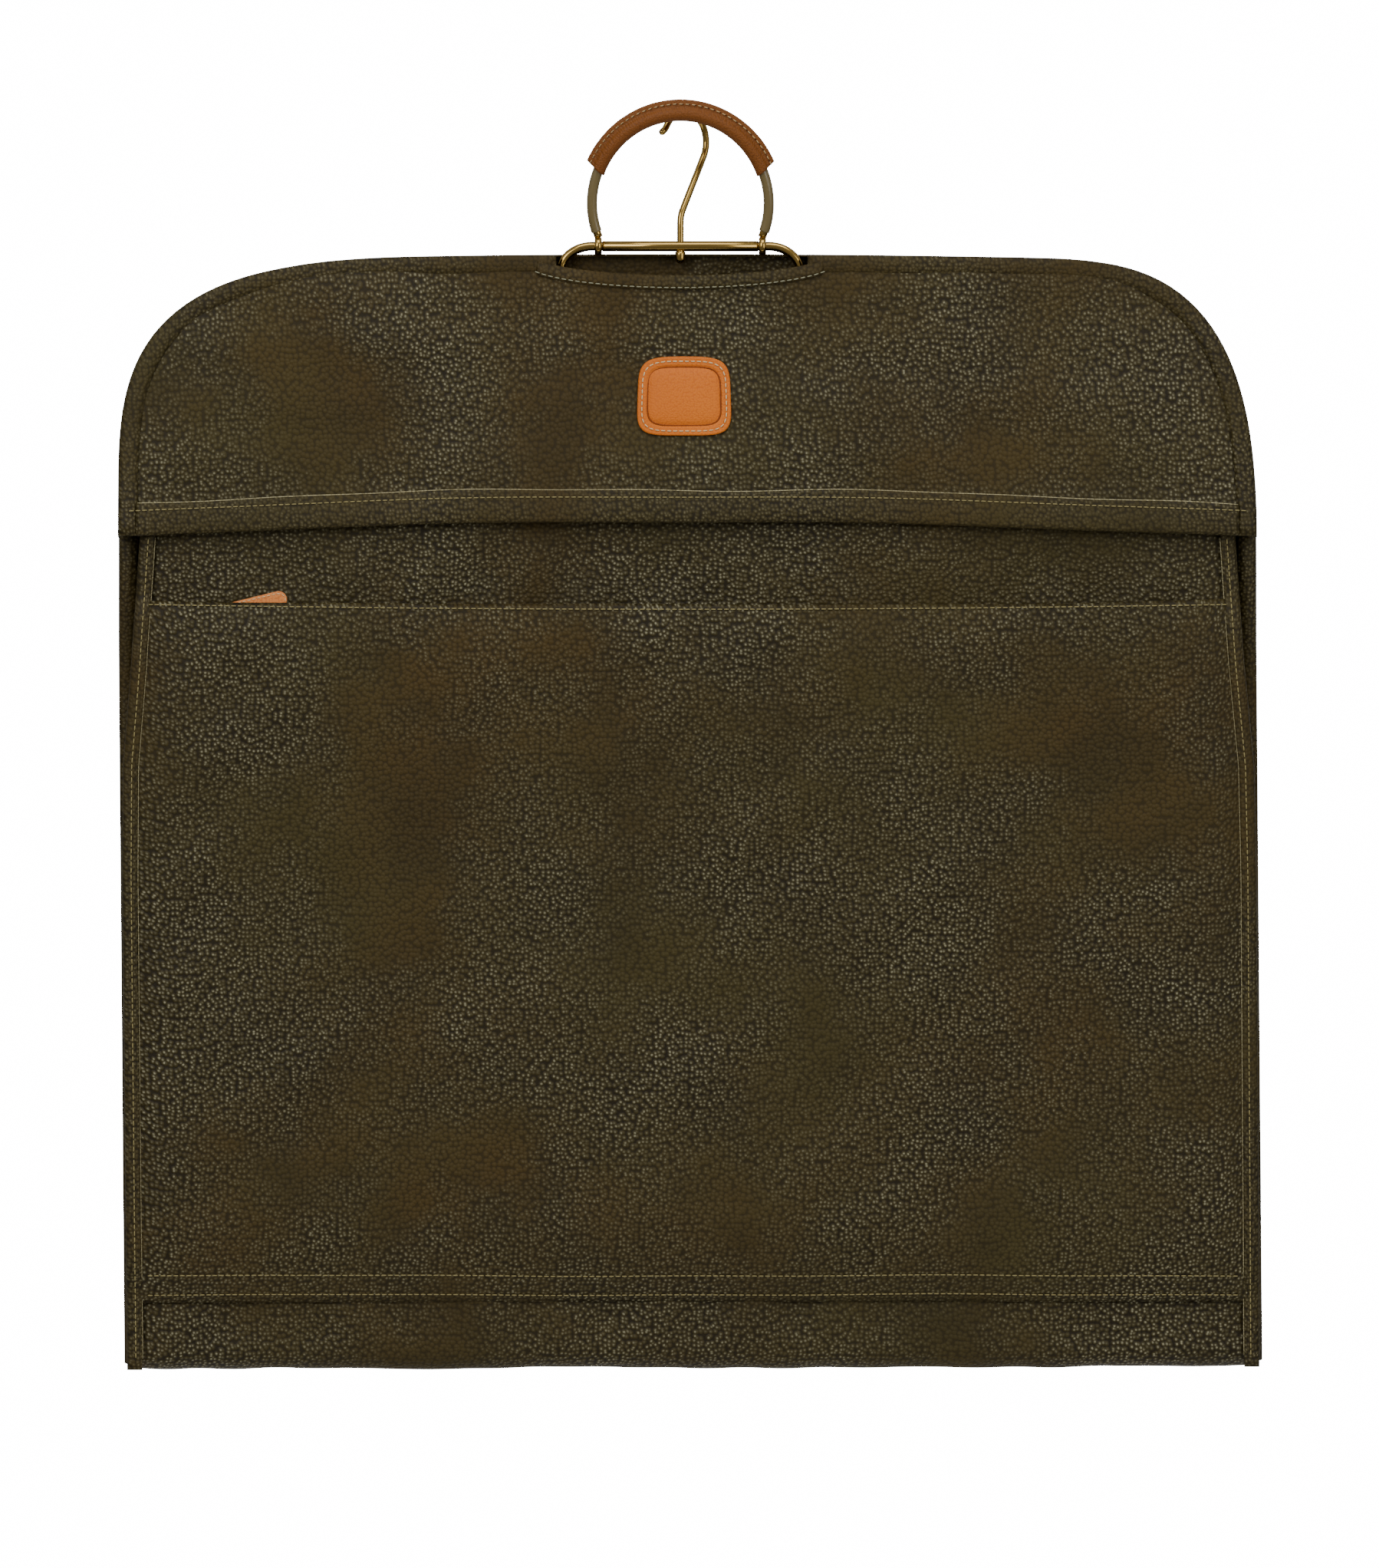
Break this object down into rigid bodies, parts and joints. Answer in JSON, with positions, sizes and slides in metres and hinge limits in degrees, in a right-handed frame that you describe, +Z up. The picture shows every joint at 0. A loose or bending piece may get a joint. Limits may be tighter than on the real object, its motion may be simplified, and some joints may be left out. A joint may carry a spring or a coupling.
{
  "type": "garment bag",
  "caption": "Bi-fold garment bag in pebbled leather with a swivel wire hook, carry handle, yoke with patch, full-width zipped pocket and zipped main compartment.",
  "frame": {"origin": "underside of the hook's crown, straight above its stem, on the swivel axis", "axes": "+X across the bag to its right seen from the front, +Y to the back of the bag, +Z up"},
  "size_m": [0.597, 0.0495, 0.663],
  "materials": {
    "steel_gold": "polished",
    "coated_arm": "satin",
    "tan_leather": "satin",
    "bag_leather": "pebbled, semi matt",
    "lining": "matt",
    "zip_tape": "matt",
    "zip_teeth": "satin"
  },
  "bodies": {
    "hook": {"hook": "steel_gold", "hook_ferrule": "steel_gold"},
    "handle": {"handle_core": "steel_gold", "handle_sleeve_left": "coated_arm", "handle_sleeve_right": "coated_arm", "handle_grip": "tan_leather"},
    "main_slider": {"main_slider": "steel_gold"},
    "main_pull": {"main_pull": "steel_gold"},
    "pocket_slider": {"pocket_slider": "steel_gold"},
    "pocket_pull": {"pocket_pull": "tan_leather"},
    "lower_half": {"lower_outer": "bag_leather", "lower_lining": "lining", "lower_inner_left": "bag_leather", "lower_inner_right": "bag_leather", "lower_zip_left": "zip_tape", "lower_zip_right": "zip_tape", "lower_edge_left": "bag_leather", "lower_edge_right": "bag_leather", "end_binding": "bag_leather", "fold_skin_front": "bag_leather", "pocket_panel": "bag_leather", "pocket_floor": "bag_leather", "pocket_tape_upper": "zip_tape", "pocket_tape_lower": "zip_tape", "pocket_chain_upper": "zip_teeth", "pocket_chain_lower": "zip_teeth"},
    "upper_half": {"anchor_tab_left": "bag_leather", "anchor_tab_right": "bag_leather", "back_binding": "bag_leather", "back_lining": "lining", "back_panel": "bag_leather", "fold_skin_back": "bag_leather", "frame_wire": "steel_gold", "hanger_bar": "steel_gold", "inner_front_left": "bag_leather", "inner_front_right": "bag_leather", "main_zip_left": "zip_tape", "main_zip_right": "zip_tape", "neck_facing": "lining", "patch": "tan_leather", "patch_pad": "tan_leather", "rivets": "steel_gold", "shoulder_binding_left": "bag_leather", "shoulder_binding_right": "bag_leather", "shoulder_gusset_left": "bag_leather", "shoulder_gusset_right": "bag_leather", "side_gusset_left": "bag_leather", "side_gusset_right": "bag_leather", "yoke": "bag_leather", "yoke_hem": "bag_leather"}
  },
  "joints": [
    {"name": "hook_swivel", "type": "hinge", "parent": "hook", "child": "upper_half", "pos_m": [0, 0, 0], "axis": [0, 0, 1], "range_deg": [-134, 46]},
    {"name": "handle_pivot", "type": "hinge", "parent": "upper_half", "child": "handle", "pos_m": [0, 0, -0.0696], "axis": [1, 0, 0], "range_deg": [0, 80]},
    {"name": "bag_fold", "type": "hinge", "parent": "upper_half", "child": "lower_half", "pos_m": [0, -0.01, -0.6578], "axis": [1, 0, 0], "range_deg": [0, 180]},
    {"name": "main_zip_slide", "type": "slide", "parent": "upper_half", "child": "main_slider", "axis": [0, 0, -1], "range_m": [0, 0.395]},
    {"name": "main_pull_hinge", "type": "hinge", "parent": "main_slider", "child": "main_pull", "pos_m": [0, -0.0094, -0.2408], "axis": [0, 1, 0], "range_deg": [-150, 150]},
    {"name": "pocket_zip_slide", "type": "slide", "parent": "lower_half", "child": "pocket_slider", "axis": [1, 0, 0], "range_m": [0, 0.46]},
    {"name": "pocket_pull_hinge", "type": "hinge", "parent": "pocket_slider", "child": "pocket_pull", "pos_m": [-0.2458, -0.029, -0.2628], "axis": [0, -1, 0], "range_deg": [0, 140]}
  ]
}
